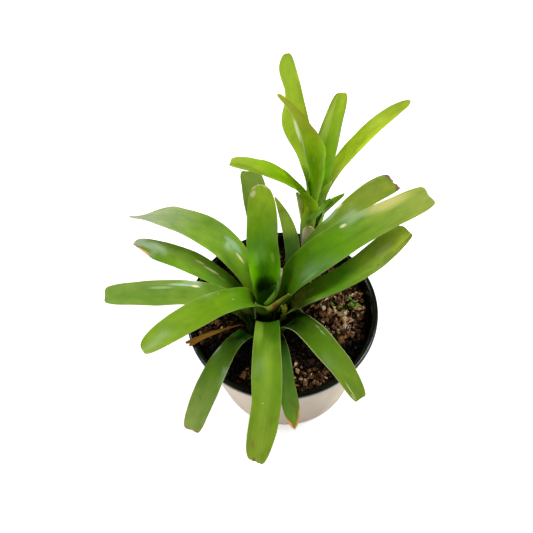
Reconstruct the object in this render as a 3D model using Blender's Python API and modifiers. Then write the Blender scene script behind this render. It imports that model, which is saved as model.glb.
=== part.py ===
"""Potted bromeliad: a strap-leaved rosette with one offset, in a round plastic nursery pot.

Metres, +Z up.  The pot's underside lies on z = 0 and its axis runs through the origin.  Each leaf has a
sheath that clasps the axis of its own rosette, so the sheaths nest one inside the next.
"""

import math

import bmesh
import bpy
import numpy as np

MM = 0.001
GAP = 0.3 * MM                 # air between pieces that touch

# Pot
RIM_RADIUS = 65.0 * MM
LIP_REACH = 2.6 * MM           # how far the rolled lip stands out from the wall
LIP_HEIGHT = 3.8 * MM
POT_HEIGHT = 86.0 * MM
BASE_RADIUS = 52.0 * MM
WALL = 1.6 * MM
FLOOR = 2.4 * MM
ROUND_STEPS = 48

# Potting mix and the stems that stand on it
SOIL_TOP = 77.0 * MM
SOIL_SAG = 2.0 * MM            # how much lower the mix lies beside the wall
SOIL_FLAT = 26.0 * MM          # radius out to which its top is level
STEM_RADIUS = 2.6 * MM
STEM_TOP = 92.0 * MM
OFFSET_STEM_RADIUS = 3.8 * MM
OFFSET_STEM_TOP = 92.5 * MM

# Rosettes
CROWN = (-9.0 * MM, -3.0 * MM)
OFFSET = (22.5 * MM, 50.5 * MM)
OFFSET_LEAN = (0.11, 0.05)     # sideways run for each unit of height
SHEATH_FOOT = SOIL_TOP + 2.0 * GAP
OFFSET_FOOT = OFFSET_STEM_TOP + GAP
LEAF_THICKNESS = 0.9 * MM
OFFSET_LEAF_THICKNESS = 0.7 * MM
SPRIG_THICKNESS = 0.5 * MM

# The leaves, innermost first.  ring is the radius of the sheath in mm and at its bearing in degrees,
# from +X towards +Y; sway turns the blade.  rise and droop are the slopes of the midrib at the sheath
# and at the tip, and bend sets how soon it falls.  length, width and sheath are in mm.
LEAVES = {
    "leaf_young": dict(ring=4.0, at=20, rise=88, droop=78, bend=1.5, length=40, width=10, sheath=30,
                       neck=0.9, taper=0.3, point=0.6, clasp=1.1, along=8),
    "leaf_centre": dict(ring=5.4, at=87, rise=85, droop=52, bend=1.65, length=102, width=21, sheath=34,
                        roll=-12, neck=1.05, taper=0.17, point=0.82, clasp=0.9, across=8),
    "leaf_left_upper": dict(ring=6.9, at=216, sway=-5, rise=83, droop=-8, bend=2.2, length=120, width=19,
                            sheath=30, roll=3, neck=0.94, taper=0.06, point=0.74, clasp=1.15, across=8),
    "leaf_right_large": dict(ring=8.4, at=-1, sway=19, rise=81, droop=14, bend=1.5, length=150, width=29,
                             sheath=28, roll=-10, neck=0.9, taper=0.28, point=0.89, clasp=1.1, across=8),
    "leaf_back_left": dict(ring=10.1, at=128, sway=43, rise=78, droop=-10, bend=2.1, length=131, width=25,
                           sheath=25, roll=14, neck=0.56, taper=0.37, point=0.69, clasp=0.95, across=8),
    "leaf_right_lower": dict(ring=10.1, at=-25, sway=55, rise=76, droop=26, bend=2.4, length=123, width=16.5,
                             sheath=23, neck=0.8, point=0.77, clasp=1.15),
    "leaf_front": dict(ring=12.6, at=271, sway=-17, rise=75, droop=-32, bend=2.3, length=122, width=18,
                       sheath=22, roll=-18, neck=0.8, point=0.78, clasp=1.05),
    "leaf_left": dict(ring=13.0, at=189, sway=-5, rise=73, droop=5, bend=1.85, length=114, width=19.5,
                      sheath=21, neck=0.96, taper=0.14, point=0.82, clasp=0.85),
    "leaf_right_back": dict(ring=13.0, at=32, sway=-10, rise=74, droop=0, bend=0.9, length=125, width=16,
                            sheath=21, roll=9, neck=0.83, point=0.85, clasp=1.0),
    "leaf_front_right": dict(ring=14.2, at=308, sway=-6, rise=73, droop=-42, bend=1.5, length=105, width=16,
                             sheath=21, neck=0.9, taper=0.2, point=0.79, clasp=1.1),
    "leaf_left_back": dict(ring=14.4, at=155, sway=-2, rise=71, droop=-5, bend=2.5, length=105, width=16,
                           sheath=19, roll=-12, neck=0.67, taper=0.19, point=0.73, clasp=1.0),
    "leaf_back": dict(ring=14.4, at=90, sway=8, rise=71, droop=-2, bend=1.6, length=103, width=17.5,
                      sheath=19, roll=8, neck=0.81, point=0.84, clasp=0.8),
    "leaf_back_small": dict(ring=16.2, at=50, sway=80, rise=72, droop=32, bend=1.6, length=81, width=11,
                            sheath=18, neck=0.8, taper=0.25, point=0.72, clasp=1.3),
    "leaf_front_small": dict(ring=15.8, at=279, sway=-3, rise=69, droop=-42, bend=1.6, length=92, width=12,
                             sheath=18, neck=0.8, taper=0.13, point=0.77, clasp=1.2),
    "leaf_front_left": dict(ring=17.0, at=236, sway=5, rise=68, droop=-42, bend=1.8, length=102, width=14.5,
                            sheath=18, roll=-5, neck=0.73, point=0.8, clasp=0.9),
    "leaf_dry": dict(ring=20.0, at=196, sway=8, rise=16, droop=14, bend=1.0, length=43, width=4.6, sheath=3,
                     neck=0.45, point=0.93, blunt=6.0, clasp=0.4, channel=70, across=4, along=8,
                     foot=SOIL_TOP + 1.6 * MM),
}
OFFSET_LEAVES = {
    "offset_leaf_front": dict(ring=1.9, at=208, sway=-11, rise=88, droop=56, bend=1.75, length=143, width=16,
                              sheath=60, roll=24, neck=0.75, taper=0.1, point=0.78, channel=60, clasp=0.5),
    "offset_leaf_tall": dict(ring=3.0, at=141, sway=-44, rise=87, droop=48, bend=2.5, length=137, width=15.5,
                             sheath=50, roll=-16, neck=0.8, taper=0.28, point=0.76, channel=35, clasp=0.7),
    "offset_leaf_back": dict(ring=4.1, at=69, sway=-8, rise=86, droop=62, bend=1.6, length=108, width=14.5,
                             sheath=45, roll=-13, neck=0.86, taper=0.16, point=0.8, channel=35, clasp=0.8),
    "offset_leaf_right": dict(ring=5.2, at=31, sway=-12, rise=85, droop=16, bend=1.3, length=119, width=11.5,
                              sheath=38, neck=0.72, taper=0.12, point=0.78, channel=32, clasp=1.1),
    "offset_leaf_left": dict(ring=5.2, at=212, sway=-36, rise=85, droop=17, bend=1.1, length=115, width=17,
                             sheath=30, roll=14, neck=0.86, taper=0.13, point=0.77, channel=32, clasp=1.0),
    "offset_leaf_small": dict(ring=6.3, at=355, sway=12, rise=84, droop=34, bend=1.4, length=46, width=12,
                              sheath=16, roll=-25, neck=0.85, taper=0.1, point=0.75, channel=30, clasp=0.95,
                              along=9),
    "offset_bract_left": dict(ring=6.4, at=172, rise=86, droop=70, bend=1.2, length=27, width=8, sheath=14,
                              neck=0.9, taper=0.3, point=0.6, clasp=1.0, along=7),
    "offset_bract_front": dict(ring=6.3, at=268, rise=86, droop=80, bend=1.2, length=17, width=7, sheath=8,
                               neck=0.95, point=0.5, clasp=1.0, along=6),
}

# Small sprigs in the mix: a thin stalk that widens into one leaflet.
SEEDLINGS = {
    "seedling_right": dict(root=(47.0 * MM, 14.0 * MM), ring=1.5, at=-66, sway=12, rise=62, droop=-12,
                           bend=1.1, length=16, width=2.4, sheath=3, neck=0.3, point=0.8, clasp=0.35,
                           across=4, along=9),
    "seedling_middle": dict(root=(45.0 * MM, 8.0 * MM), ring=1.5, at=-62, sway=25, rise=60, droop=-10,
                            bend=1.1, length=10, width=2.4, sheath=2, neck=0.3, point=0.75, clasp=0.35,
                            across=4, along=7),
    "seedling_left": dict(root=(40.5 * MM, 7.0 * MM), ring=1.5, at=-78, sway=10, rise=64, droop=-15,
                          bend=1.1, length=13, width=1.9, sheath=2, neck=0.35, point=0.75, clasp=0.4,
                          across=4, along=8),
    "seedling_small": dict(root=(34.0 * MM, 6.0 * MM), ring=1.2, at=-62, sway=8, rise=55, droop=0,
                           bend=1.1, length=6.5, width=1.9, sheath=1.2, neck=0.35, point=0.7, clasp=0.4,
                           across=4, along=6),
}


def smooth(t):
    t = np.clip(t, 0.0, 1.0)
    return t * t * (3.0 - 2.0 * t)


def leaf_surface(leaf, centre, foot, across, along, lean=(0.0, 0.0)):
    """The upper face of a leaf as rows of points, from the sheath to the tip."""
    s = np.linspace(0.0, 1.0, along + 1) ** 0.85
    length = leaf["length"] * MM
    start = leaf["sheath"] / leaf["length"]
    blade = np.clip((s - start) / (1.0 - start), 0.0, 1.0)
    slope = np.radians(leaf["droop"] + (leaf["rise"] - leaf["droop"]) * (1.0 - blade) ** leaf["bend"])
    bearing = np.radians(leaf["at"] + leaf.get("sway", 0.0) * blade)

    ahead = np.stack([np.cos(slope) * np.cos(bearing), np.cos(slope) * np.sin(bearing), np.sin(slope)], -1)
    side = np.stack([-np.sin(bearing), np.cos(bearing), 0.0 * bearing], -1)
    inward = np.cross(ahead, side)
    first = np.array([
        centre[0] + leaf["ring"] * MM * math.cos(bearing[0]),
        centre[1] + leaf["ring"] * MM * math.sin(bearing[0]),
        foot,
    ])
    steps = (ahead[1:] + ahead[:-1]) / 2.0 * np.diff(s)[:, None] * length
    midrib = np.vstack([first, first + np.cumsum(steps, 0)])

    roll = np.radians(leaf.get("roll", 0.0)) * smooth(blade / 0.8)
    side, inward = (
        side * np.cos(roll)[:, None] + inward * np.sin(roll)[:, None],
        inward * np.cos(roll)[:, None] - side * np.sin(roll)[:, None],
    )

    neck = leaf.get("neck", 0.85)
    point = leaf.get("point", 0.8)
    width = neck + (1.0 - neck) * smooth(blade / 0.5)
    width = width * (1.0 - leaf.get("taper", 0.0) * smooth((blade - 0.4) / 0.6))
    end = np.clip((s - point) / (1.0 - point), 0.0, 1.0) ** leaf.get("blunt", 2.6)
    width = width * np.maximum(np.sqrt(1.0 - end), 0.14)
    opened = smooth(s / (1.4 * start))
    width = leaf["width"] * MM * (leaf.get("clasp", 1.3) * (1.0 - opened) + width * opened)

    # The sheath follows a circle about the axis of its rosette, and the blade is a shallower channel.
    out = np.hypot(midrib[:, 0] - centre[0], midrib[:, 1] - centre[1])
    round_axis = np.sin(np.maximum(slope, 0.0)) / out
    channel = 2.0 * np.radians(leaf.get("channel", 26.0)) / width * (1.0 - 0.55 * smooth(blade))
    curve = np.maximum(np.maximum(round_axis, channel * smooth((blade - 0.05) / 0.3)), 1.0)
    angle = (width * curve / 2.0)[:, None] * np.linspace(-1.0, 1.0, across + 1)
    points = (
        midrib[:, None, :]
        + side[:, None, :] * (np.sin(angle) / curve[:, None])[..., None]
        + inward[:, None, :] * ((1.0 - np.cos(angle)) / curve[:, None])[..., None]
    )
    points[..., :2] += (points[..., 2:] - foot) * np.array(lean)
    return points


def clear_scene():
    for obj in list(bpy.data.objects):
        bpy.data.objects.remove(obj, do_unlink=True)
    for collection in list(bpy.data.collections):
        bpy.data.collections.remove(collection)


def collection_named(name):
    made = bpy.data.collections.new(name)
    bpy.context.scene.collection.children.link(made)
    return made


def material(name, colour, roughness):
    made = bpy.data.materials.new(name)
    made.use_nodes = True
    shader = made.node_tree.nodes["Principled BSDF"]
    shader.inputs["Base Color"].default_value = (*colour, 1.0)
    shader.inputs["Roughness"].default_value = roughness
    made.diffuse_color = (*colour, 1.0)
    return made


def add_object(name, bm, colour, roughness, collection):
    mesh = bpy.data.meshes.new(name)
    bm.to_mesh(mesh)
    bm.free()
    obj = bpy.data.objects.new(name, mesh)
    obj.data.materials.append(material(name, colour, roughness))
    collection.objects.link(obj)
    return obj


def turned(name, profile, colour, roughness, collection):
    """A closed solid of revolution from (radius, height) points that start and end on the axis."""
    bm = bmesh.new()
    verts = [bm.verts.new((radius, 0.0, height)) for radius, height in profile]
    for a, b in zip(verts, verts[1:]):
        bm.edges.new((a, b))
    obj = add_object(name, bm, colour, roughness, collection)
    screw = obj.modifiers.new("Turn", "SCREW")
    screw.steps = screw.render_steps = ROUND_STEPS
    screw.use_merge_vertices = True
    screw.merge_threshold = 0.00005
    screw.use_smooth_shade = True
    return obj


def strap_leaf(name, leaf, centre, foot, thickness, lean, colour, collection):
    """A grid bent to the leaf's surface, with Solidify adding the thickness on its lower side."""
    across, along = leaf.get("across", 6), leaf.get("along", 14)
    origin = np.array([*centre, foot])
    rows = leaf_surface(leaf, centre, foot, across, along, lean) - origin
    bm = bmesh.new()
    bmesh.ops.create_grid(bm, x_segments=across, y_segments=along, size=1.0)
    for vert in bm.verts:
        column = round((1.0 - vert.co.x) / 2.0 * across)
        row = round((vert.co.y + 1.0) / 2.0 * along)
        vert.co = rows[row, column]
    obj = add_object(name, bm, colour, 0.35, collection)
    obj.location = origin
    solidify = obj.modifiers.new("Thickness", "SOLIDIFY")
    solidify.thickness = thickness
    solidify.offset = -1.0
    solidify.use_even_offset = False
    return obj


def stem(name, centre, radius, bottom, top, colour, collection):
    bm = bmesh.new()
    bmesh.ops.create_cone(
        bm, cap_ends=True, segments=16, radius1=radius, radius2=radius * 0.9, depth=top - bottom
    )
    obj = add_object(name, bm, colour, 0.5, collection)
    obj.location = (*centre, (top + bottom) / 2.0)
    return obj


WALL_FOOT = BASE_RADIUS - 1.2 * MM
WALL_TOP = RIM_RADIUS - LIP_REACH
LIP_BOTTOM = POT_HEIGHT - LIP_HEIGHT
CORNER = 2.0 * MM              # rounding between the floor and the inner wall


def inner_radius(height):
    """Radius of the pot's inner wall between the floor's rounding and the lip."""
    share = (height - FLOOR - CORNER) / (LIP_BOTTOM - FLOOR - CORNER)
    return WALL_FOOT - WALL + (WALL_TOP - WALL_FOOT) * share


SOIL_EDGE = SOIL_TOP - SOIL_SAG
SOIL_RADIUS = inner_radius(SOIL_EDGE) - GAP


def soil_height(radius):
    share = max(radius - SOIL_FLAT, 0.0) / (SOIL_RADIUS - SOIL_FLAT)
    return SOIL_TOP - SOIL_SAG * share


clear_scene()
bromeliad = collection_named("potted_bromeliad")

# The pot: floor, inner wall, rounded lip, outer wall and foot, all in one turned profile.
turned(
    "pot",
    [
        (0.0, FLOOR),
        (WALL_FOOT - WALL - CORNER, FLOOR),
        (WALL_FOOT - WALL, FLOOR + CORNER),
        (WALL_TOP - WALL, LIP_BOTTOM),
        (WALL_TOP - WALL + 0.3 * MM, POT_HEIGHT - 0.8 * MM),
        (WALL_TOP - WALL + 1.1 * MM, POT_HEIGHT),
        (RIM_RADIUS - 1.4 * MM, POT_HEIGHT),
        (RIM_RADIUS - 0.4 * MM, POT_HEIGHT - 0.4 * MM),
        (RIM_RADIUS, POT_HEIGHT - 1.4 * MM),
        (RIM_RADIUS, LIP_BOTTOM + 0.5 * MM),
        (RIM_RADIUS - 0.5 * MM, LIP_BOTTOM),
        (WALL_TOP, LIP_BOTTOM),
        (WALL_FOOT, 1.6 * MM),
        (WALL_FOOT - 0.5 * MM, 0.5 * MM),
        (WALL_FOOT - 1.6 * MM, 0.0),
        (0.0, 0.0),
    ],
    (0.60, 0.50, 0.40), 0.35, bromeliad,
)

turned(
    "potting_mix",
    [
        (0.0, SOIL_TOP),
        (SOIL_FLAT, SOIL_TOP),
        (SOIL_RADIUS, SOIL_EDGE),
        (inner_radius(FLOOR + 3.0 * MM) - GAP, FLOOR + 3.0 * MM),
        (WALL_FOOT - WALL - 3.0 * MM, FLOOR + GAP),
        (0.0, FLOOR + GAP),
    ],
    (0.08, 0.045, 0.025), 0.9, bromeliad,
)

stem("stem", CROWN, STEM_RADIUS, SOIL_TOP + GAP, STEM_TOP, (0.25, 0.32, 0.10), bromeliad)
stem(
    "offset_stem", OFFSET, OFFSET_STEM_RADIUS, SOIL_TOP + GAP, OFFSET_STEM_TOP, (0.19, 0.22, 0.13), bromeliad
)

for name, leaf in LEAVES.items():
    colour = (0.45, 0.24, 0.06) if name == "leaf_dry" else (0.17, 0.34, 0.04)
    foot = leaf.get("foot", SHEATH_FOOT)
    strap_leaf(name, leaf, CROWN, foot, LEAF_THICKNESS, (0.0, 0.0), colour, bromeliad)
for name, leaf in OFFSET_LEAVES.items():
    strap_leaf(
        name, leaf, OFFSET, OFFSET_FOOT, OFFSET_LEAF_THICKNESS, OFFSET_LEAN, (0.25, 0.42, 0.03), bromeliad
    )
for name, leaf in SEEDLINGS.items():
    foot = soil_height(math.hypot(*leaf["root"])) + 1.5 * GAP
    strap_leaf(name, leaf, leaf["root"], foot, SPRIG_THICKNESS, (0.0, 0.0), (0.22, 0.52, 0.05), bromeliad)
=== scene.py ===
import math

import bmesh
import bpy
import numpy as np
from mathutils import Matrix, Vector, noise


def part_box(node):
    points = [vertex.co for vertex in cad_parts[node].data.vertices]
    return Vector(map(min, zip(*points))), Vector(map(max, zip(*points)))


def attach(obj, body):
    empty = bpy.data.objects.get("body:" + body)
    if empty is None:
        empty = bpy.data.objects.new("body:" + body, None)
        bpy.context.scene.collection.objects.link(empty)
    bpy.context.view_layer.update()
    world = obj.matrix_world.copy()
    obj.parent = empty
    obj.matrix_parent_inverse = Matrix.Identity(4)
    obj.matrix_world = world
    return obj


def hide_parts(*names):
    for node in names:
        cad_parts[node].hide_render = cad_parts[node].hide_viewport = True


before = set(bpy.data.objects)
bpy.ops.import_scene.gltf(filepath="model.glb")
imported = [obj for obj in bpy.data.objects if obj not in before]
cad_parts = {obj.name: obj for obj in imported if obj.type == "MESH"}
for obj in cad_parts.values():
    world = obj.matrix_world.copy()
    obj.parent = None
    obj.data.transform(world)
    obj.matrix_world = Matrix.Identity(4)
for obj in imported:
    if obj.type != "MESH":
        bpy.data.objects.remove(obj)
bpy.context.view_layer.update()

mm = 0.001
fullTurn = 2.0 * math.pi
draw = np.random.default_rng(11)
scene = bpy.context.scene


def tone(colour):
    # an everyday (red, green, blue) of 0 to 255 as the linear colour that nodes take; anything else as it is
    if not isinstance(colour, tuple) or len(colour) != 3:
        return colour
    shares = [c / 255 for c in colour]
    return (*(((s + 0.055) / 1.055) ** 2.4 if s > 0.04 else s / 12.92 for s in shares), 1.0)


def ease(t):
    t = np.clip(t, 0.0, 1.0)
    return t * t * (3.0 - 2.0 * t)


class Wire:
    # one socket of a finish; arithmetic written on it adds Math nodes
    def __init__(self, finish, socket):
        self.finish = finish
        self.socket = socket

    def math(self, operation, *values):
        return self.finish.add("Math", {"operation": operation}, dict(enumerate(values)))

    def __add__(self, other):
        return self.math("ADD", self, other)

    def __radd__(self, other):
        return self.math("ADD", other, self)

    def __sub__(self, other):
        return self.math("SUBTRACT", self, other)

    def __rsub__(self, other):
        return self.math("SUBTRACT", other, self)

    def __mul__(self, other):
        return self.math("MULTIPLY", self, other)

    def __rmul__(self, other):
        return self.math("MULTIPLY", other, self)

    def __pow__(self, other):
        return self.math("POWER", self, other)

    def __abs__(self):
        return self.math("ABSOLUTE", self)


class Finish:
    # a procedural material, built up one node at a time
    def __init__(self, name):
        self.material = bpy.data.materials.new(name)
        self.material.use_nodes = True
        self.tree = self.material.node_tree

    def fill(self, node, values):
        for name, value in values.items():
            if isinstance(value, Wire):
                self.tree.links.new(value.socket, node.inputs[name])
            else:
                node.inputs[name].default_value = value

    def add(self, kind, settings=None, values=None, out=0):
        node = self.tree.nodes.new("ShaderNode" + kind)
        for name, setting in (settings or {}).items():
            if name == "stops":
                for place, colour in setting[1:-1]:
                    node.color_ramp.elements.new(place)
                for stop, (place, colour) in zip(node.color_ramp.elements, setting):
                    stop.position, stop.color = place, tone(colour)
            else:
                setattr(node, name, setting)
        self.fill(node, values or {})
        return Wire(self, node.outputs[out])

    def rise(self, value, low, high):
        # 0 at low, 1 at high, smooth in between
        return self.add("MapRange", {"interpolation_type": "SMOOTHSTEP"},
                        {"Value": value, "From Min": low, "From Max": high})

    def mix(self, under, over, amount, how="MIX"):
        return self.add("Mix", {"data_type": "RGBA", "blend_type": how},
                        {0: amount, 6: tone(under), 7: tone(over)}, 2)

    def ramp(self, value, stops):
        return self.add("ValToRGB", {"stops": stops}, {"Fac": value})

    def cloud(self, place, scale, detail=2.0, roughness=0.5, distortion=0.0):
        return self.add("TexNoise", {}, {"Vector": place, "Scale": scale, "Detail": detail,
                                         "Roughness": roughness, "Distortion": distortion})

    def place(self, x, y, z=0.0):
        return self.add("CombineXYZ", {}, {0: x, 1: y, 2: z})

    def parts(self, vector):
        split = self.add("SeparateXYZ", {}, {0: vector})
        return [Wire(self, socket) for socket in split.socket.node.outputs]

    def spot(self):
        return self.add("TexCoord", {}, out="Object")

    def bump(self, height, distance, strength=1.0):
        return self.add("Bump", {}, {"Height": height, "Distance": distance, "Strength": strength})

    def surface(self, values):
        self.fill(self.tree.nodes["Principled BSDF"], values)
        return self.material


def pieceFrom(name, verts, faces, material, slot, *nodes, marks=None):
    mesh = bpy.data.meshes.new(name)
    mesh.from_pydata([tuple(v) for v in verts], [], faces)
    for markName, values in (marks or {}).items():
        kind, field = ("FLOAT_VECTOR", "vector") if np.ndim(values) == 2 else ("FLOAT", "value")
        mark = mesh.attributes.new(markName, kind, "POINT")
        mark.data.foreach_set(field, np.ravel(values).astype(np.float32))
    mesh.polygons.foreach_set("use_smooth", [True] * len(mesh.polygons))
    mesh.materials.append(material)
    piece = bpy.data.objects.new(name, mesh)
    scene.collection.objects.link(piece)
    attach(piece, "root")
    if nodes:
        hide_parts(*nodes)
    return piece


def faceOutwards(piece, weld=False):
    bm = bmesh.new()
    bm.from_mesh(piece.data)
    if weld:
        bmesh.ops.remove_doubles(bm, verts=bm.verts, dist=0.01 * mm)
    bmesh.ops.recalc_face_normals(bm, faces=bm.faces)
    bm.to_mesh(piece.data)
    bm.free()


def ringFaces(rings, count):
    # faces between rings of so many points each
    faces = []
    for i in range(rings - 1):
        for k in range(count):
            a, b = i * count + k, i * count + (k + 1) % count
            faces.append((a, b, b + count, a + count))
    return faces


def tubeFaces(rings, count):
    # the same, closed at both ends
    ends = [tuple(reversed(range(count))), tuple((rings - 1) * count + k for k in range(count))]
    return ringFaces(rings, count) + ends


# The crown and the offset each hold nested leaves; every sheath follows a circle about its own axis: where it
# stands, how high its foot is and how far it leans for each mm of height.
upright = (0.0, 0.0)
stand = dict(crown=((-9.0, -3.0), 77.6, upright), offset=((22.5, 50.5), 92.8, (0.11, 0.05)),
    dryLeaf=((-8.0, 1.5), 78.6, upright))

# A leaf in mm and degrees: its sheath starts at ring from the axis, facing at, and the blade bends over from
# rise to droop. outline: (place along, left, right share of the width). bow: (place along, sideways, inward).
plainLeaf = dict(sway=0, roll=0, rollBy=0.8, neck=0.85, point=0.8, taper=0, blunt=2.6, cut=0.05, clasp=1.3,
    channel=26, slant=0, notch=0, torn=0, thick=0.86, outline=[(0, 1, 1)], bow=[(0, 0, 0)])
# how many faces across and along, how thick the margin is beside the midrib, waves and dimples in mm
leafDetail = dict(across=22, along=110, margin=0.22, wave=0.3, dimple=0.14)


def follow(knots, s):
    # a soft line through values given along the leaf
    line = np.interp(s, [knot[0] for knot in knots], [knot[1] for knot in knots])
    weights = np.hanning(15)[1:-1]
    return np.convolve(np.pad(line, 6, "edge"), weights / weights.sum(), "valid")


def leafSheet(leaf, centre, foot, lean):
    # upper face, lower face and place on the leaf (across -1 to 1, along 0 to 1), row by row
    leaf = {**plainLeaf, **leaf}
    across, along = leafDetail["across"], leafDetail["along"]
    s = np.linspace(0.0, 1.0, along + 1)
    s = 0.45 * s + 0.55 * np.sin(s * math.pi / 2.0)
    length = leaf["length"] * mm
    start = leaf["sheath"] / leaf["length"]
    blade = np.clip((s - start) / (1.0 - start), 0.0, 1.0)
    slope = np.radians(leaf["droop"] + (leaf["rise"] - leaf["droop"]) * (1.0 - blade) ** leaf["bend"])
    bearing = np.radians(leaf["at"] + leaf["sway"] * blade)
    ahead = np.stack([np.cos(slope) * np.cos(bearing), np.cos(slope) * np.sin(bearing), np.sin(slope)], -1)
    side = np.stack([-np.sin(bearing), np.cos(bearing), 0.0 * bearing], -1)
    inward = np.cross(ahead, side)
    ring = leaf["ring"] * mm
    first = np.array([centre[0] * mm + ring * math.cos(bearing[0]),
                      centre[1] * mm + ring * math.sin(bearing[0]), foot * mm])
    steps = (ahead[1:] + ahead[:-1]) / 2.0 * np.diff(s)[:, None] * length
    midrib = np.vstack([first, first + np.cumsum(steps, 0)])
    roll = np.radians(leaf["roll"]) * ease(blade / leaf["rollBy"])
    side, inward = (side * np.cos(roll)[:, None] + inward * np.sin(roll)[:, None],
                    inward * np.cos(roll)[:, None] - side * np.sin(roll)[:, None])
    midrib = midrib + side * (follow([(a, b) for a, b, c in leaf["bow"]], s) * mm)[:, None]
    midrib = midrib + inward * (follow([(a, c) for a, b, c in leaf["bow"]], s) * mm)[:, None]

    width = leaf["neck"] + (1.0 - leaf["neck"]) * ease(blade / 0.5)
    width = width * (1.0 - leaf["taper"] * ease((blade - 0.4) / 0.6))
    end = np.clip((s - leaf["point"]) / (1.0 - leaf["point"]), 0.0, 1.0) ** leaf["blunt"]
    width = width * (leaf["cut"] + (1.0 - leaf["cut"]) * np.sqrt(1.0 - end))
    opened = ease(s / (1.4 * start))
    width = leaf["width"] * mm * (leaf["clasp"] * (1.0 - opened) + width * opened)

    out = np.hypot(midrib[:, 0] - centre[0] * mm, midrib[:, 1] - centre[1] * mm)
    roundAxis = np.sin(np.maximum(slope, 0.0)) / out
    channel = 2.0 * np.radians(leaf["channel"]) / width * (1.0 - 0.55 * ease(blade))
    curve = np.maximum(np.maximum(roundAxis, channel * ease((blade - 0.05) / 0.3)), 1.0)
    u = np.sin(np.linspace(-1.0, 1.0, across + 1) * math.pi / 2.0)
    left = follow([(a, b) for a, b, c in leaf["outline"]], s)
    right = follow([(a, c) for a, b, c in leaf["outline"]], s)
    angle = (width * curve / 2.0)[:, None] * u * np.where(u > 0.0, right[:, None], left[:, None])
    upper = (midrib[:, None, :] + side[:, None, :] * (np.sin(angle) / curve[:, None])[..., None]
             + inward[:, None, :] * ((1.0 - np.cos(angle)) / curve[:, None])[..., None])

    # a slow wave along each margin and shallow dimples over the blade, none at the sheath
    turn = leaf["at"] * 0.37
    long = s[:, None] * leaf["length"]
    wave = np.abs(u) ** 3 * np.sin(s[:, None] * 17.0 + turn + np.where(u > 0.0, 1.9, 0.0))
    dimple = (np.sin(long * 0.17 + u * 1.7 + turn) + np.sin(long * 0.31 - u * 2.3 + turn * 2.3)
              + 0.5 * np.sin(long * 0.55 + u * 3.4 + turn * 1.7)) / 2.0
    lift = (leafDetail["wave"] * wave + leafDetail["dimple"] * dimple) * ease(blade / 0.3)[:, None]
    upper = upper + inward[:, None, :] * (lift * mm)[..., None]

    # the tip: slanted, notched (or pointed, if below zero) and torn by so many millimetres
    nearTip = ease((s - 0.9) / 0.1)[:, None]
    ends = (leaf["slant"] * u - leaf["notch"] * np.exp(-(u * 2.6) ** 2)
            + leaf["torn"] * (1.0 - u ** 4) * (np.sin(u * 9.0 + turn) + 0.6 * np.sin(u * 17.0 + turn * 3.0)))
    upper = upper + ahead[:, None, :] * (nearTip * ends * mm)[..., None]
    upper[..., :2] += (upper[..., 2:] - foot * mm) * np.array(lean)

    down = np.cross(np.gradient(upper, axis=0), np.gradient(upper, axis=1))
    down /= np.maximum(np.linalg.norm(down, axis=-1, keepdims=True), 1e-12)
    if np.sum(down * inward[:, None, :]) > 0.0:
        down = -down
    body = leafDetail["margin"] + (1.0 - leafDetail["margin"]) * (1.0 - u ** 4)
    body = body * (1.0 - 0.55 * ease((s - 0.75) / 0.25))[:, None]
    lower = upper + down * (body * leaf["thick"] * mm)[..., None]
    place = np.stack([np.broadcast_to(u, angle.shape), np.broadcast_to(s[:, None], angle.shape)], -1)
    return upper, lower, place


def sheetPiece(name, upper, lower, place, finish, slot, *nodes):
    rows, columns = upper.shape[:2]
    count = rows * columns
    verts = np.vstack([upper.reshape(-1, 3), lower.reshape(-1, 3)])
    at = np.arange(count).reshape(rows, columns)
    faces = []
    for r in range(rows - 1):
        for c in range(columns - 1):
            a, b, d, e = at[r, c], at[r, c + 1], at[r + 1, c + 1], at[r + 1, c]
            faces.append((a, b, d, e))
            faces.append((a + count, e + count, d + count, b + count))
    rim = [*at[0, :], *at[1:, -1], *at[-1, -2::-1], *at[-2:0:-1, 0]]
    for a, b in zip(rim, rim[1:] + rim[:1]):
        faces.append((b, a, a + count, b + count))
    marks = np.zeros((2 * count, 3))
    marks[:count, :2] = marks[count:, :2] = place.reshape(-1, 2)
    marks[count:, 2] = 1.0
    faces = [tuple(int(i) for i in f) for f in faces]
    faceOutwards(pieceFrom(name, verts, faces, finish, slot, *nodes, marks={"leafPlace": marks}))


def leafPiece(name, leaf, axis, finish, slot):
    sheetPiece(name, *leafSheet(leaf, *axis), finish, slot, leaf["node"])


# what a leaf looks like unless its own look says otherwise; a spot is its place across and along, its reach
# across and along, its colour and how strong it is; the spots are the leaf's own specks, scurf and browned
# margins, and also painted highlights, painted sheen and painted shade
freshLook = dict(foot=(84, 104, 36), low=(88, 134, 34), high=(112, 152, 50), tip=(128, 158, 62), start=0.3,
    deep=(58, 112, 20), patch=0.38, mottle=0.42, lines=0.2, sheenStripe=0, sheenStripeTone=(150, 180, 84), rim=0.35,
    rimTone=(176, 178, 96), back=(112, 142, 56), backShare=0.65, paintedShade=None, rough=0.24, gloss=0.4, marksAndPaintedLight=[],
    outerSpots=False, dry=0, dryEdge=0.03, dryTone=(176, 132, 70))


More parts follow.
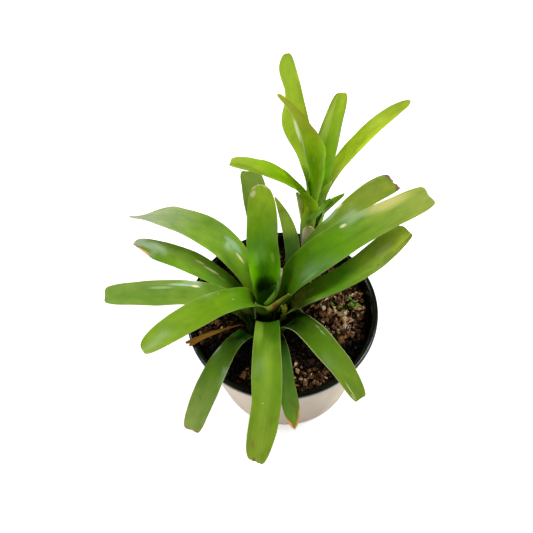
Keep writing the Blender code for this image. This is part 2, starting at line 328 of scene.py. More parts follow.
def leafFinish(name, leaf, **base):
    look = {**freshLook, **base, **leaf["look"]}
    finish = Finish(name)
    place = finish.add("Attribute", {"attribute_name": "leafPlace"}, out="Vector")
    across, along, under = finish.parts(place)
    half, long = leaf["width"] / 2.0, leaf["length"]
    seed = leaf["at"] * 0.13 + leaf["ring"]

    def grain(fineAcross, fineAlong, shift, *detail):
        spot = finish.place(across * (half * fineAcross), along * (long * fineAlong), seed + shift)
        return finish.cloud(spot, 1.0, *detail)

    fine = grain(1.7, 0.035, 0.0, 3.0, 0.6)
    broad = grain(0.09, 0.035, 4.0)
    blotch = grain(0.15, 0.1, 9.0, 3.0, 0.55, 0.4)
    edge = abs(across)

    stops = [(0.0, look["foot"]), (look["start"], look["low"]), (0.62, look["high"]), (0.96, look["tip"])]
    colour = finish.ramp(along + (broad - 0.5) * 0.16, stops)
    colour = finish.mix(colour, look["deep"], finish.rise(broad, 0.42, 0.7) * look["patch"])
    paler, darker = (1.5, 1.35, 0.9, 1.0), (0.5, 0.66, 0.4, 1.0)
    colour = finish.mix(colour, paler, finish.rise(blotch, 0.5, 0.74) * look["mottle"], "MULTIPLY")
    colour = finish.mix(colour, darker, finish.rise(blotch, 0.5, 0.28) * look["mottle"], "MULTIPLY")
    # painted sheen: a lighter band down the middle of the blade, from halfway up
    sheenStripe = finish.rise(edge, 0.55, 0.1) * finish.rise(along, 0.35, 0.55) * look["sheenStripe"]
    colour = finish.mix(colour, look["sheenStripeTone"], sheenStripe)
    colour = finish.mix(colour, (30, 60, 8), finish.rise(fine, 0.45, 0.8) * look["lines"])
    colour = finish.mix(colour, look["rimTone"], finish.rise(edge, 0.93, 0.995) * look["rim"])
    colour = finish.mix(colour, look["back"], under * look["backShare"])
    if look["paintedShade"]:
        # painted shade: the outer face is painted near black low down, deep between the sheaths
        low, high = look["paintedShade"]
        colour = finish.mix(colour, (5, 8, 2), under * finish.rise(along, high, low))
    rough = look["rough"] + (fine - 0.5) * 0.06 + (blotch - 0.5) * 0.08
    faced = under if look["outerSpots"] else 1.0 - under
    # the spots: the leaf's own specks, scurf and browned margins, and also painted highlights, painted sheen
    # and painted shade
    for spotAcross, spotAlong, sizeAcross, sizeAlong, spotTone, amount in look["marksAndPaintedLight"]:
        away = (((across - spotAcross) * (1.0 / sizeAcross)) ** 2.0
                + ((along - spotAlong) * (1.0 / sizeAlong)) ** 2.0)
        spot = finish.rise(away + (fine - 0.5) * 1.6 + (blotch - 0.5) * 1.6, 1.9, -0.1) * (faced * amount)
        colour = finish.mix(colour, spotTone, spot)
        rough = rough + spot * 0.2
    if look["dry"]:
        browned = finish.rise(along + (edge - 0.5) * look["dryEdge"] + (fine - 0.5) * 0.03, 1.0 - look["dry"],
                              1.0 - look["dry"] * 0.45)
        colour = finish.mix(colour, look["dryTone"], browned)
        rough = rough + browned * 0.25
    return finish.surface({"Base Color": colour, "Roughness": rough, "Specular IOR Level": look["gloss"],
                           "Normal": finish.bump(fine * 0.35 + broad * 0.6, 0.0001, 0.3)})


foldDetail = dict(steps=48, across=8, cup=0.2, thick=0.4, length=25.0, ring=5.0)
foldLook = dict(patch=0.2, gloss=0.15, rough=0.4, backShare=0)


def foldPieces(folds, grainWidth, slot):
    # strips of sheath margin along soft lines through given points (x, y, z, width), cupped to their back
    for name, fold in folds.items():
        s = np.linspace(0.0, 1.0, foldDetail["steps"] + 1)
        knots = np.linspace(0.0, 1.0, len(fold["points"]))
        x, y, z, width = (follow(list(zip(knots, values)), s) * mm for values in zip(*fold["points"]))
        line = np.stack([x, y, z], -1)
        ahead = np.gradient(line, axis=0)
        side = np.cross(ahead, fold["face"])
        side /= np.linalg.norm(side, axis=-1, keepdims=True)
        facing = np.cross(side, ahead)
        facing /= np.linalg.norm(facing, axis=-1, keepdims=True)
        u = np.linspace(-1.0, 1.0, foldDetail["across"] + 1)
        reach = u[None, :, None] * width[:, None, None] / 2.0
        cup = (u ** 2)[None, :, None] * width[:, None, None] * fold.get("cup", foldDetail["cup"])
        upper = line[:, None, :] + side[:, None, :] * reach - facing[:, None, :] * cup
        lower = upper - facing[:, None, :] * foldDetail["thick"] * mm
        place = np.stack(np.broadcast_arrays(u[None, :], s[:, None]), -1)
        sized = dict(fold, width=grainWidth, length=foldDetail["length"], at=fold["points"][0][0],
                     ring=foldDetail["ring"])
        finish = leafFinish(name + "Green", sized, **foldLook)
        sheetPiece(name, upper, lower, place, finish, fold.get("slot", slot), *fold.get("nodes", ()))


rosette = {
    "youngLeaf": dict(node="leaf_young", ring=4, at=20, rise=88, droop=78, bend=1.5, length=38, width=8,
        sheath=28, neck=0.9, taper=0.3, point=0.6, clasp=1.1,
        # its foot and lower blade are painted near black: painted shade deep in the cup
        look=dict(foot=(10, 26, 4), low=(20, 56, 6), high=(50, 96, 14), tip=(57, 100, 27))),
    "centreLeaf": dict(node="leaf_centre", ring=5.4, at=87, rise=85, droop=52, bend=1.65, length=102,
        width=21, sheath=34, roll=-12, neck=1.05, taper=0.17, point=0.82, clasp=0.9, cut=0.25, notch=-0.3,
        outline=[(0.4, 1, 1), (0.5, 1.12, 1.02), (0.66, 0.9, 1), (0.8, 1.07, 0.97), (1, 1, 0.95)],
        # its lower blade is painted lighter green, painted light against the shade of the cup; the first,
        # near-black spot is painted shade in the pocket at its foot
        look=dict(foot=(44, 100, 8), low=(138, 218, 14), high=(94, 152, 8), start=0.42, tip=(144, 172, 42),
            dry=0.015, dryTone=(206, 196, 130), patch=0.35, gloss=0.3,
            marksAndPaintedLight=[(0.1, 0.29, 0.8, 0.09, (6, 34, 2), 0.95), (0.7, 0.95, 0.2, 0.02, (214, 206, 160), 0.7),
            (-0.5, 0.55, 0.1, 0.035, (196, 190, 84), 0.5)])),
    "upperLeftLeaf": dict(node="leaf_left_upper", ring=6.9, at=216, sway=-5, rise=83, droop=-8, bend=2.2,
        length=118.5, width=19, sheath=30, roll=3, neck=0.94, taper=0.06, point=0.74, clasp=1.15,
        outline=[(0.3, 1.15, 1.05), (0.5, 0.88, 1.05), (0.6, 0.98, 0.93), (0.7, 1.1, 1), (0.85, 1.12, 0.84),
        (1, 1.15, 0.75)], cut=0.24, torn=0.15,
        # the outer face is painted near black low down: painted shade between the sheaths
        look=dict(paintedShade=(0.17, 0.23), foot=(150, 176, 30), low=(88, 134, 12), high=(104, 138, 20),
            tip=(122, 150, 36), gloss=0.25, rough=0.3, marksAndPaintedLight=[(-0.8, 0.53, 0.03, 0.005, (210, 220, 180), 0.5),
            (-0.05, 0.47, 0.04, 0.006, (210, 220, 180), 0.5)])),
    "largeRightLeaf": dict(node="leaf_right_large", ring=8.4, at=-1, sway=19, rise=81, droop=14, bend=1.5,
        length=147, width=29, sheath=28, roll=-10, neck=0.9, taper=0.28, point=0.89, clasp=1.1,
        outline=[(0.35, 0.96, 1), (0.52, 1.1, 0.95), (0.72, 0.97, 0.92), (0.88, 1.08, 0.96), (1, 1.1, 0.95)],
        cut=0.6, slant=0.2, notch=0.5,
        # the outer face is painted near black low down: painted shade between the sheaths. Of its spots the
        # first is pale scurf and the third a pale margin; the second is a cream spot, partly scurf and partly
        # painted highlight, and the last is painted sheen
        look=dict(paintedShade=(0.16, 0.22), foot=(60, 84, 8), low=(70, 112, 6), high=(90, 134, 16),
            tip=(138, 150, 64), gloss=0.18, rim=0.25, marksAndPaintedLight=[(0.95, 0.2, 0.14, 0.06, (206, 206, 170), 0.7),
            (0.72, 0.65, 0.08, 0.014, (226, 210, 150), 0.85), (0.75, 0.85, 0.4, 0.09, (216, 198, 128), 0.55),
            (-0.7, 0.44, 0.14, 0.05, (150, 190, 150), 0.25)])),
    "backLeftLeaf": dict(node="leaf_back_left", ring=10.1, at=128, sway=43, rise=78, droop=-10, bend=2.1,
        length=131, width=25, sheath=25, roll=14, neck=0.56, taper=0.37, point=0.69, clasp=0.95,
        outline=[(0.3, 1.1, 0.95), (0.55, 1, 0.95), (0.72, 1.12, 0.92), (0.8, 1.42, 0.86), (0.86, 1.15, 0.7),
        (0.93, 0.5, 0.35), (1, 0.3, 0.25)], bow=[(0.9, 0, 0), (0.97, 0.4, 0.3), (1, -0.9, 0.8)],
        # its two spots are a bluish painted sheen round a cream core that is partly scurf and partly painted
        # highlight
        look=dict(foot=(134, 166, 36), low=(118, 160, 34), high=(122, 154, 52), tip=(166, 170, 140),
            gloss=0.28, patch=0.25, marksAndPaintedLight=[(-0.5, 0.43, 0.15, 0.055, (176, 204, 190), 0.38),
            (-0.25, 0.36, 0.08, 0.03, (238, 224, 184), 0.8)])),
    "lowerRightLeaf": dict(node="leaf_right_lower", ring=10.1, at=-25, sway=55, rise=76, droop=26, bend=2.4,
        length=123, width=16.5, sheath=23, neck=0.8, point=0.77, clasp=1.15, cut=0.34,
        outline=[(0.2, 1.2, 0.95), (0.35, 1.4, 0.95), (0.45, 1.3, 0.8), (0.58, 1.3, 0.8), (0.68, 1.18, 0.97),
        (0.8, 0.92, 1.18), (0.93, 0.66, 1.34), (1, 0.62, 1.5)],
        # the near-black spot by the lower margin at the foot is painted shade
        look=dict(foot=(150, 148, 40), low=(112, 140, 22), high=(92, 146, 19), tip=(218, 234, 86), rim=0.5,
            rimTone=(150, 150, 70), gloss=0.3, marksAndPaintedLight=[(-0.59, 0.8, 0.05, 0.006, (60, 50, 30), 0.8),
            (-0.8, 0.83, 0.05, 0.006, (60, 50, 30), 0.8), (0.3, 0.31, 0.8, 0.07, (176, 168, 46), 0.9),
            (0.45, 0.29, 0.2, 0.02, (226, 190, 110), 0.85), (0.1, 0.36, 0.15, 0.02, (206, 176, 96), 0.7),
            (-0.85, 0.38, 0.45, 0.08, (24, 34, 2), 0.9), (0.2, 0.42, 0.2, 0.03, (180, 160, 80), 0.4),
            (0.1, 0.86, 0.35, 0.05, (206, 210, 120), 0.4), (-1, 0.7, 0.35, 0.25, (84, 108, 26), 0.75),
            (-0.8, 0.92, 0.45, 0.16, (108, 128, 42), 0.75)])),
    "frontLeaf": dict(node="leaf_front", ring=12.6, at=271, sway=-17, rise=75, droop=-32, bend=2.3,
        length=121.5, width=18, sheath=22, roll=-18, neck=0.8, point=0.78, clasp=1.05, cut=0.4, torn=0.15,
        slant=0.9, outline=[(0.25, 1.1, 0.9), (0.45, 1.06, 0.87), (0.6, 1, 1.05), (0.73, 0.78, 1.1),
        (0.85, 0.88, 1.04), (1, 1, 0.84)], bow=[(0, 0, 0), (0.15, 0, 2.4), (0.27, 0, 2.6), (0.42, 0, 0.6),
        (0.6, 0, 0)],
        # the lighter stripe down its middle is a painted sheen
        look=dict(foot=(86, 126, 30), low=(59, 92, 7), high=(104, 136, 28), tip=(124, 148, 40), sheenStripe=0.4,
            sheenStripeTone=(134, 160, 54), gloss=0.1, rough=0.34,
            marksAndPaintedLight=[(-0.49, 0.92, 0.17, 0.018, (130, 108, 60), 0.7),
            (-0.3, 0.995, 0.2, 0.012, (110, 76, 50), 0.85), (0.5, 0.995, 0.15, 0.01, (150, 120, 80), 0.7),
            (0.45, 0.3, 0.7, 0.12, (44, 80, 4), 0.7), (-0.75, 0.34, 0.35, 0.12, (130, 160, 50), 0.6),
            (-0.08, 0.73, 0.035, 0.004, (226, 232, 216), 0.7)])),
    "leftLeaf": dict(node="leaf_left", ring=13, at=189, sway=-5, rise=73, droop=5, bend=1.85, length=114,
        width=19.5, sheath=21, neck=0.96, taper=0.14, point=0.82, clasp=0.85, cut=0.5,
        outline=[(0.35, 1, 0.95), (0.45, 0.88, 0.95), (0.62, 0.9, 1.06), (0.72, 0.86, 1.24), (0.85, 0.86, 1),
        (1, 1, 1)],
        # its spots are bluish streaks of painted sheen round a cream core that is partly scurf and partly
        # painted highlight
        look=dict(foot=(67, 69, 31), low=(100, 138, 28), high=(114, 140, 48), tip=(118, 144, 58),
            marksAndPaintedLight=[(-0.37, 0.71, 0.1, 0.06, (184, 208, 184), 0.3),
            (-0.62, 0.6, 0.1, 0.07, (196, 218, 206), 0.5), (-0.6, 0.52, 0.1, 0.022, (242, 228, 184), 0.85)])),
    "rightBackLeaf": dict(node="leaf_right_back", ring=13, at=32, sway=-10, rise=74, droop=0, bend=0.9,
        length=125, width=16, sheath=21, roll=9, neck=0.83, point=0.85, clasp=1, outline=[(0.5, 0.9, 0.88),
        (0.65, 0.85, 0.68), (0.78, 0.85, 0.87), (0.9, 0.95, 1.02), (1, 1, 1.1)], cut=0.62, notch=0.7,
        slant=-0.9, torn=0.35,
        # its spots are a cream spot, partly scurf and partly painted highlight, in a bluish painted sheen
        look=dict(foot=(70, 100, 30), low=(84, 122, 36), high=(112, 138, 44), tip=(124, 136, 42), dry=0.02,
            dryTone=(112, 84, 62), gloss=0.2, marksAndPaintedLight=[(0.92, 0.71, 0.14, 0.02, (230, 214, 164), 0.85),
            (0.85, 0.65, 0.25, 0.05, (156, 184, 150), 0.5)])),
    "frontRightLeaf": dict(node="leaf_front_right", ring=14.2, at=308, sway=-6, rise=73, droop=-42, bend=1.5,
        length=102.5, width=16, sheath=21, neck=0.9, taper=0.2, point=0.79, clasp=1.1, cut=0.5,
        outline=[(0.25, 1, 1.3), (0.4, 0.94, 1), (0.55, 1.02, 0.95), (0.66, 1.12, 0.87), (0.78, 1, 1),
        (1, 0.88, 0.95)],
        # its foot and lower blade are painted near black: painted shade where it leaves the cup
        look=dict(foot=(1, 1, 1), low=(6, 10, 1), high=(78, 112, 18), tip=(118, 140, 44), gloss=0.08,
            rough=0.34, start=0.38, rim=0.7, rimTone=(186, 190, 124),
            marksAndPaintedLight=[(0.59, 0.56, 0.04, 0.025, (176, 186, 136), 0.6),
            (0.66, 0.51, 0.035, 0.02, (176, 186, 136), 0.5), (-0.5, 0.92, 0.06, 0.05, (200, 200, 140), 0.7),
            (-0.72, 0.97, 0.1, 0.025, (200, 200, 140), 0.6)])),
    "leftBackLeaf": dict(node="leaf_left_back", ring=14.4, at=155, sway=-2, rise=71, droop=-5, bend=2.5,
        length=105, width=16, sheath=19, roll=-12, neck=0.67, taper=0.19, point=0.73, clasp=1,
        outline=[(0.3, 1.1, 0.8), (0.4, 0.9, 1.03), (0.6, 1.05, 0.97), (0.82, 1.03, 1), (0.9, 1.12, 0.66),
        (1, 1.3, 0.3)], cut=0.15, torn=0.3,
        # its first three spots are a cream streak, partly scurf and partly painted highlight; the last is the
        # browned margin by the tip
        look=dict(foot=(60, 96, 24), low=(98, 140, 26), high=(118, 152, 40), tip=(90, 116, 8), dry=0.02,
            dryTone=(190, 130, 84), gloss=0.25, marksAndPaintedLight=[(-0.37, 0.53, 0.08, 0.035, (226, 206, 150), 0.7),
            (-0.23, 0.44, 0.11, 0.05, (232, 216, 164), 0.8), (-0.08, 0.36, 0.08, 0.03, (190, 190, 110), 0.5),
            (0.95, 0.92, 0.36, 0.06, (214, 150, 96), 0.95)])),
    "backLeaf": dict(node="leaf_back", ring=14.4, at=90, sway=8, rise=71, droop=-2, bend=1.6, length=102,
        width=17.5, sheath=19, roll=8, neck=0.81, point=0.84, clasp=0.8, cut=0.55, slant=0.3,
        outline=[(0.6, 1, 0.98), (0.73, 1, 1.08), (0.88, 0.91, 1), (1, 0.9, 1.1)],
        look=dict(foot=(60, 84, 30), low=(84, 108, 38), high=(94, 120, 40), tip=(104, 124, 46))),
    "smallBackLeaf": dict(node="leaf_back_small", ring=16.2, at=50, sway=80, rise=72, droop=32, bend=1.6,
        length=81, width=11, sheath=18, neck=0.8, taper=0.25, point=0.72, outline=[(0.45, 1, 0.68),
        (0.6, 0.95, 0.92), (0.75, 0.7, 1.12), (0.87, 0.4, 1.08), (1, 0.15, 0.8)],
        look=dict(foot=(40, 62, 24), low=(58, 86, 28), high=(71, 103, 34), tip=(212, 236, 76), dry=0.03,
            dryTone=(230, 150, 90))),
    "smallFrontLeaf": dict(node="leaf_front_small", ring=15.8, at=279, sway=-3, rise=69, droop=-42, bend=1.6,
        length=91.5, width=12, sheath=18, neck=0.8, taper=0.16, point=0.85, clasp=1.2,
        outline=[(0.45, 0.95, 0.93), (0.6, 0.95, 0.84), (0.7, 1, 0.77), (0.8, 1.05, 0.9), (0.87, 1, 0.95)],
        cut=0.06, torn=0.7, blunt=1.6, notch=-1,
        # its foot and lower blade are painted near black: painted shade where it leaves the rosette
        look=dict(foot=(4, 8, 2), low=(4, 8, 3), high=(56, 88, 30), tip=(112, 142, 44), start=0.36, dry=0.04,
            dryEdge=0.1, dryTone=(226, 150, 94), marksAndPaintedLight=[(0.92, 0.93, 0.14, 0.045, (230, 156, 96), 0.95)])),
    "frontLeftLeaf": dict(node="leaf_front_left", ring=17, at=236, sway=5, rise=68, droop=-42, bend=1.8,
        length=101, width=14.5, sheath=18, roll=-5, neck=0.73, clasp=0.9, cut=0.5, outline=[(0.15, 1.2, 1),
        (0.3, 0.8, 0.95), (0.45, 0.72, 0.83), (0.6, 0.87, 1.04), (0.73, 0.96, 1.14), (0.88, 0.94, 0.95),
        (1, 1.05, 0.95)], notch=0.3,
        # its foot and lower blade are painted near-black green: painted shade where it leaves the rosette
        look=dict(foot=(8, 38, 2), low=(8, 26, 2), high=(78, 110, 26), tip=(140, 158, 78), dry=0.009,
            dryTone=(156, 116, 78), start=0.34, gloss=0.16)),
}
for name, leaf in rosette.items():
    leafPiece(name, leaf, stand["crown"], leafFinish(name + "Green", leaf), "leaf")

# the sheath margins that show round the cup, each part of the leaf it is named after
folds = {
    "largeRightMargin": dict(face=(0.1, -0.6, 0.8), points=[(-11.2, -8, 104, 2.2), (-9, -8, 105.5, 3.4),
        (-6.2, -6.3, 107, 4), (-3, -3.9, 110, 3.4), (-0.9, -2, 114.5, 2.6), (0.1, 0.8, 118.5, 2.2),
        (1.3, 3.6, 122.5, 2.8), (1.9, 5.8, 125.5, 1.6)],
        look=dict(foot=(66, 98, 14), low=(84, 120, 18), high=(110, 140, 60), tip=(196, 192, 150), rim=0.5,
            rimTone=(150, 176, 80), marksAndPaintedLight=[(0.2, 0.85, 0.5, 0.06, (226, 216, 184), 0.9)])),
    "lowerRightMargin": dict(face=(0.1, -0.75, 0.65), cup=0.3, points=[(-17.5, -6, 104, 1.6),
        (-14.5, -10, 105.5, 2.6), (-11.5, -12.8, 106.5, 4), (-8.5, -14.2, 107.5, 4.6),
        (-5, -13.8, 109.5, 4.4), (-1.5, -12.8, 113, 3.8), (2.5, -13.2, 118, 3.2), (6.2, -15.4, 127, 2)],
        look=dict(foot=(90, 120, 20), low=(96, 116, 16), high=(126, 124, 40), tip=(110, 116, 30), rim=0.7,
            rimTone=(150, 150, 70), marksAndPaintedLight=[(-0.2, 0.62, 0.7, 0.07, (110, 66, 24), 0.9)])),
    "lowerRightSheath": dict(face=(0.2, -0.9, 0.4), points=[(1.4, -14.5, 114, 3.2), (2.3, -15.5, 109, 3.8),
        (2.1, -15.2, 103.5, 3), (1, -15.8, 97, 1.6)],
        look=dict(foot=(200, 206, 70), low=(206, 206, 66), high=(180, 172, 60), tip=(150, 140, 60), rim=0.8,
            rimTone=(220, 210, 120))),
    "frontLeftMargin": dict(face=(0.2, -0.8, 0.6), points=[(-16.4, -6.5, 107, 0.9), (-17.1, -10.4, 102, 1),
        (-17.2, -14.4, 97.5, 0.9)],
        look=dict(foot=(110, 130, 60), low=(150, 160, 90), high=(150, 160, 90), tip=(120, 150, 60))),
    "frontRightSheath": dict(face=(-0.2, -0.8, 0.6), points=[(4.4, -9.2, 103.5, 3.4),
        (6.5, -10.6, 101.5, 5.6), (9, -12, 99.5, 6.4), (11.5, -13.2, 97.5, 6), (14, -15.3, 95.5, 4)],
        # nearly black: painted shade in the hollow below the sheath, with the sheath's own pale margin as its
        # spot along one edge
        look=dict(foot=(14, 20, 4), low=(12, 20, 2), high=(16, 32, 4), tip=(34, 60, 8), rim=0,
            marksAndPaintedLight=[(-1, 0.35, 0.2, 0.6, (180, 186, 130), 0.95)])),
    "frontRightMargin": dict(face=(-0.2, -0.8, 0.6), points=[(-0.4, -13.2, 100.5, 0.8),
        (-0.7, -14.4, 98, 0.9), (-0.9, -16, 95.5, 0.8)],
        look=dict(foot=(110, 130, 60), low=(150, 160, 90), high=(150, 160, 90), tip=(120, 150, 60))),
    "leftMargin": dict(face=(0, -0.6, 0.8), points=[(-29.5, -4.8, 98.5, 2.4), (-25.5, -6, 97.5, 3.6),
        (-21.5, -7.6, 96, 4), (-18.8, -8.6, 94.5, 2)],
        look=dict(foot=(90, 120, 30), low=(90, 110, 26), high=(80, 94, 24), tip=(50, 66, 14))),
    "frontLeftSheath": dict(face=(-0.1, -0.7, 0.7), points=[(-22.8, -7, 95.5, 2.6), (-22.2, -10.5, 92.5, 4.6),
        (-21, -15, 88.5, 5.4), (-20, -19.5, 84.5, 4)],
        look=dict(foot=(20, 26, 10), low=(34, 50, 14), high=(38, 64, 14), tip=(40, 66, 16), rim=0.6,
            rimTone=(70, 90, 40))),
}
foldPieces(folds, 4.0, "leaf")
print("rosette:", len(rosette), "leaves")

offsetLeaves = {
    "offsetFrontLeaf": dict(node="offset_leaf_front", ring=1.9, at=222, sway=-30, rise=88, droop=56,
        bend=1.75, length=143, width=16, sheath=60, roll=42, neck=0.95, taper=0.2, point=0.6, channel=24,
        clasp=0.5, rollBy=0.2, outline=[(0.3, 1, 1), (0.42, 1.15, 1.1), (0.53, 1.1, 1), (0.64, 0.85, 0.85),
        (0.74, 0.66, 0.78), (0.81, 0.55, 0.72), (0.88, 0.7, 0.9), (0.94, 0.8, 0.8), (1, 1, 1)],
        bow=[(0.36, -0.8, 0), (0.46, 0, 0), (0.55, 1, 0), (0.74, 1.4, 0), (0.82, 2.2, 0), (0.88, 3.4, 0),
        (0.95, 3, 0.6), (1, -1.6, 2.6)],
        look=dict(foot=(100, 150, 16), low=(137, 190, 12), high=(160, 208, 20), start=0.44,
            tip=(196, 200, 60), backShare=0, rim=0.2, rimTone=(160, 176, 70), gloss=0.03, rough=0.4,
            outerSpots=True, marksAndPaintedLight=[(0.85, 0.8, 0.25, 0.1, (190, 140, 60), 0.3),
            (0.6, 0.38, 0.5, 0.06, (150, 180, 50), 0.6), (-0.98, 0.62, 0.11, 0.3, (226, 232, 190), 1),
            (-0.1, 0.57, 0.04, 0.02, (214, 226, 170), 0.6)])),
    "offsetTallLeaf": dict(node="offset_leaf_tall", ring=3, at=141, sway=-44, rise=87, droop=48, bend=2.5,
        length=135, width=15.5, sheath=50, roll=-16, neck=0.8, taper=0.28, point=0.76, channel=35, clasp=0.7,
        cut=0.12, outline=[(0.4, 1, 1.25), (0.5, 1, 1), (0.58, 0.96, 0.9), (0.68, 0.9, 1.5),
        (0.74, 0.95, 1.5), (0.81, 1.02, 0.62), (0.86, 1.08, 0.52), (0.91, 1.06, 1), (0.95, 1.02, 1.4),
        (1, 1.05, 1.45)], bow=[(0.85, 0, 0), (1, -0.8, 0)],
        # its spot is a pale streak of painted sheen
        look=dict(foot=(160, 210, 60), low=(200, 240, 60), high=(160, 182, 42), tip=(150, 178, 48), gloss=0.3,
            backShare=0.3, marksAndPaintedLight=[(0.12, 0.68, 0.1, 0.055, (226, 232, 190), 0.7)])),
    "offsetBackLeaf": dict(node="offset_leaf_back", ring=4.1, at=69, sway=-8, rise=86, droop=62, bend=1.6,
        length=108, width=14.5, sheath=45, roll=-13, neck=0.86, taper=0.16, channel=35, clasp=0.8, cut=0.35,
        slant=-0.8, outline=[(0.5, 1.12, 0.98), (0.72, 1.15, 1.06), (0.88, 1.1, 0.94), (1, 1.25, 0.9)],
        look=dict(foot=(134, 186, 30), low=(154, 226, 40), high=(138, 184, 32), tip=(162, 188, 46), gloss=0.3,
            backShare=0.2, marksAndPaintedLight=[(0.5, 0.82, 0.3, 0.16, (206, 216, 120), 0.4)])),
    "offsetRightLeaf": dict(node="offset_leaf_right", ring=5.2, at=31, sway=-12, rise=85, droop=16, bend=1.3,
        length=119, width=11.5, sheath=38, neck=0.72, taper=0.12, point=0.78, channel=32, clasp=1.1, cut=0.15,
        outline=[(0.35, 0.5, 1), (0.5, 0.95, 1.1), (0.6, 1.2, 1.05), (0.7, 1.22, 0.95), (0.85, 1.1, 1.1),
        (1, 0.8, 1.25)], slant=0.8,
        look=dict(foot=(190, 206, 60), low=(220, 230, 64), high=(198, 222, 46), tip=(141, 155, 41), gloss=0.2,
            rough=0.32, backShare=0.2)),
    "offsetLeftLeaf": dict(node="offset_leaf_left", ring=5.2, at=212, sway=-36, rise=85, droop=17, bend=1.1,
        length=113, width=17, sheath=30, roll=14, neck=0.86, taper=0.13, point=0.77, channel=22, clasp=1,
        cut=0.4, slant=0.8, outline=[(0.15, 1, 1), (0.32, 1.25, 1.3), (0.45, 1.15, 1.25), (0.6, 1.35, 1.1),
        (0.75, 1.5, 1), (0.87, 1.4, 0.95), (1, 1.1, 1)], bow=[(0.15, 0, 0), (0.32, -2.5, 4),
        (0.45, -4.5, 2.5), (0.6, -3.4, 0.8), (0.8, -3, 0.3), (1, -3, 0)],
        look=dict(foot=(122, 126, 100), low=(156, 198, 26), high=(130, 174, 8), tip=(143, 161, 50), gloss=0,
            rough=0.45, backShare=0)),
    "offsetSmallLeaf": dict(node="offset_leaf_small", ring=6.6, at=355, sway=12, rise=84, droop=34, bend=1.4,
        length=44, width=12, sheath=22, roll=-12, taper=0.1, point=0.7, channel=30, clasp=1.2,
        outline=[(0, 0.9, 0.85), (0.3, 1.3, 0.8), (0.45, 1.6, 0.55), (0.6, 1.6, 0.45), (0.8, 1.35, 0.4),
        (1, 0.9, 0.4)], bow=[(0.02, 0, 0), (0.3, 5.5, 0), (0.6, 7, 0), (1, 6.5, 0)],
        look=dict(foot=(110, 140, 60), low=(160, 212, 8), high=(128, 178, 4), tip=(136, 172, 26), gloss=0.02,
            rough=0.5, backShare=0.2)),
}
bracts = {
    "frontBract": dict(node="offset_bract_front", ring=6.8, at=256, rise=86, droop=82, bend=1.2, length=25,
        width=9.5, sheath=12, neck=0.95, point=0.5, clasp=1,
        look=dict(foot=(196, 180, 140), low=(228, 212, 166), high=(254, 250, 200), tip=(236, 228, 150),
            rim=0.4, patch=0, backShare=0.1)),
}
thinLeaf = dict(thick=0.66)
for group, ending, slot in ((offsetLeaves, "Green", "offset_leaf"), (bracts, "Skin", "bract")):
    for name, leaf in group.items():
        finish = leafFinish(name + ending, leaf, patch=0.25)
        leafPiece(name, {**thinLeaf, **leaf}, stand["offset"], finish, slot)

# the feet of the small and the right leaf, where they lap over the tube, and the bract left of it
offsetFolds = {
    "offsetSmallSheath": dict(face=(0.1, -0.9, 0.5), points=[(20.9, 43.5, 120, 1.4), (24, 44, 123.5, 3.6),
        (29, 47.5, 126.5, 5.2), (34.3, 52.5, 127, 5.2), (39.5, 55.5, 128.5, 3.6)],
        look=dict(foot=(90, 130, 30), low=(104, 146, 26), high=(118, 160, 26), tip=(116, 156, 22), rim=0.3,
            rimTone=(150, 170, 80))),
    "offsetRightSheath": dict(face=(-0.1, -0.95, 0.3), points=[(38.2, 55.4, 147.5, 0.8),
        (36.6, 54.6, 144, 2.8), (34.4, 53.6, 140, 5), (32, 52.8, 135.5, 5.6), (30, 51.6, 131, 5.2),
        (28.2, 50, 126.5, 4)],
        look=dict(foot=(196, 220, 90), low=(150, 186, 40), high=(130, 170, 36), tip=(90, 120, 24), rim=0.5,
            rimTone=(190, 200, 110))),
    "leftBract": dict(nodes=("offset_bract_left",), face=(-0.3, -0.9, 0.3), cup=0.35,
        points=[(20.5, 48.5, 95, 3), (20, 50, 103, 4.4), (19.5, 51, 113, 5.2), (18.5, 51.5, 122, 5.2),
        (17.5, 52, 130, 4.8), (16.5, 53, 136, 3.4), (15, 54, 141, 1)], slot="bract",
        look=dict(foot=(110, 116, 56), low=(176, 190, 70), high=(226, 232, 110), tip=(190, 206, 110), rim=0.8,
            rimTone=(150, 112, 70))),
}
foldPieces(offsetFolds, 5.0, "offset_leaf")
print("offset:", len(offsetLeaves), "leaves and", len(bracts) + 1, "bracts")

dryLeaf = dict(node="leaf_dry", ring=22, at=202, sway=10, rise=17, droop=10, bend=1, length=40, width=4.6,
    sheath=3, neck=0.45, point=0.93, blunt=6, clasp=0.4, channel=60, cut=0.8, notch=1.7, slant=-0.5, torn=0.3,
    outline=[(0, 0.5, 0.5), (0.3, 0.55, 0.55), (0.55, 0.7, 0.6), (0.8, 0.9, 0.85), (1, 1.15, 1.1)],
    look=dict(foot=(120, 74, 24), low=(176, 118, 44), high=(206, 146, 60), tip=(190, 120, 50),
    deep=(140, 84, 30), patch=0.6, rim=0.6, rimTone=(226, 176, 100), back=(150, 100, 50), gloss=0.2, dry=0.02,
    dryTone=(120, 70, 34)))
leafPiece("dryLeaf", dryLeaf, stand["dryLeaf"], leafFinish("dryLeafBrown", dryLeaf), "dry_leaf")

seedlingLeaf = dict(ring=0.8, sway=12, rise=62, droop=-12, bend=1.1, sheath=2, neck=0.3, clasp=0.4, thick=0.4,
    lift=1, look=dict(foot=(110, 110, 50), low=(80, 110, 34), high=(90, 156, 30), tip=(96, 170, 36),
    patch=0.2, rim=0.2, gloss=0.2))
